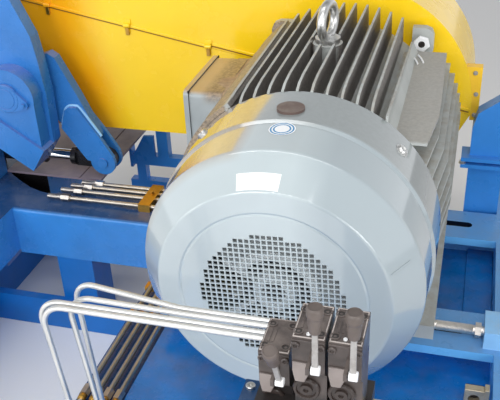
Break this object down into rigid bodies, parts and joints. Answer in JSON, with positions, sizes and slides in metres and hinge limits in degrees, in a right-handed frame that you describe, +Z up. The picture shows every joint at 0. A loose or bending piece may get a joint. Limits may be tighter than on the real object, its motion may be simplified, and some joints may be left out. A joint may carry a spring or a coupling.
{
  "type": "granulator drive station",
  "caption": "Drive side of a plastic granulator: base frame with finned electric motor, closed belt guard, hood hinge with hydraulic lever, and a stand of hand lever valves.",
  "frame": {"origin": "centre of the frame's footprint on the floor", "axes": "+X along the frame's longest side with the hood hinge at -X and the motor at +X; +Y from the motor's fan end to the belt guard; +Z up"},
  "size_m": [1.97, 1.93, 1.4457],
  "materials": {
    "frame_blue": "satin",
    "deck_blue": "satin",
    "hood_blue": "satin",
    "motor_grey": "satin",
    "cover_grey": "gloss",
    "fan_grey": "cast",
    "plug_brown": "matte",
    "guard_yellow": "gloss",
    "clamp_orange": "satin",
    "bright_steel": "machined",
    "zinc_steel": "zinc plated",
    "rod_chrome": "polished",
    "cylinder_black": "satin",
    "lug_tan": "zinc plated",
    "valve_grey": "satin",
    "tube_steel": "drawn",
    "tube_bronze": "drawn",
    "clamp_brass": "machined",
    "knob": "moulded"
  },
  "bodies": {
    "frame": {"adjusting_block": "hood_blue", "adjusting_screw": "bright_steel", "base_cross_beam": "frame_blue", "base_end_beams": "frame_blue", "base_side_beams": "frame_blue", "column_beam": "frame_blue", "column_head": "frame_blue", "cover_plug": "plug_brown", "cross_beam": "frame_blue", "cylinder_bracket": "cylinder_black", "cylinder_deck": "deck_blue", "deck_lug": "lug_tan", "deck_plate": "deck_blue", "delivery_tubes": "tube_steel", "drive_end_shield": "motor_grey", "fan_cover": "cover_grey", "fan_grille": "cover_grey", "foot_bolts": "zinc_steel", "front_beam": "frame_blue", "guard_clamp": "clamp_orange", "guard_lower": "guard_yellow", "guard_stand": "frame_blue", "guard_upper": "guard_yellow", "hinge_lug": "hood_blue", "hinge_pedestal": "hood_blue", "hinge_pin": "hood_blue", "hood_side_plate": "hood_blue", "left_side_beam": "frame_blue", "lifting_eye": "zinc_steel", "manifold": "valve_grey", "manifold_end_block": "clamp_brass", "middle_beam": "frame_blue", "motor_feet": "motor_grey", "motor_housing": "motor_grey", "motor_rails": "frame_blue", "posts": "frame_blue", "rear_column": "frame_blue", "right_side_beam": "frame_blue", "terminal_box": "motor_grey", "terminal_box_lid": "motor_grey", "tray_tubes": "tube_bronze", "tube_clamps": "clamp_brass", "tube_fittings": "tube_steel", "valve_left": "valve_grey", "valve_middle": "valve_grey", "valve_right": "valve_grey", "valve_stand": "frame_blue"},
    "rotor": {"fan": "fan_grey", "motor_shaft": "bright_steel"},
    "lever": {"lever_arm": "hood_blue", "lever_pin": "hood_blue"},
    "barrel": {"cylinder_barrel": "cylinder_black"},
    "rod": {"cylinder_rod": "rod_chrome", "rod_head": "cylinder_black"},
    "lever_left": {"valve_lever_left": "knob"},
    "lever_middle": {"valve_lever_middle": "knob"},
    "lever_right": {"valve_lever_right": "knob"}
  },
  "joints": [
    {"name": "rotor_spin", "type": "hinge", "parent": "frame", "child": "rotor", "pos_m": [0.363, -0.065, 0.778], "axis": [0, 1, 0], "continuous": true},
    {"name": "lever_pivot", "type": "hinge", "parent": "frame", "child": "lever", "pos_m": [-0.717, 0.544, 0.803], "axis": [0, -1, 0], "range_deg": [0, 26]},
    {"name": "barrel_swivel", "type": "hinge", "parent": "frame", "child": "barrel", "pos_m": [-0.927, 0.544, 0.533], "axis": [0, -1, 0], "range_deg": [0, 14.5]},
    {"name": "rod_slide", "type": "slide", "parent": "barrel", "child": "rod", "axis": [1, 0, 0], "range_m": [0, 0.115]},
    {"name": "valve_left_throw", "type": "hinge", "parent": "frame", "child": "lever_left", "pos_m": [0.493, -0.852, 0.988], "axis": [1, 0, 0], "range_deg": [-55, 5]},
    {"name": "valve_middle_throw", "type": "hinge", "parent": "frame", "child": "lever_middle", "pos_m": [0.551, -0.885, 1.051], "axis": [1, 0, 0], "range_deg": [-30, 30]},
    {"name": "valve_right_throw", "type": "hinge", "parent": "frame", "child": "lever_right", "pos_m": [0.6015, -0.885, 1.051], "axis": [1, 0, 0], "range_deg": [-30, 30]}
  ],
  "couplings": [
    {"joint": "barrel_swivel", "follows": "lever_pivot", "ratio": 0.5325},
    {"joint": "rod_slide", "follows": "lever_pivot", "m_per_rad": 0.247}
  ]
}
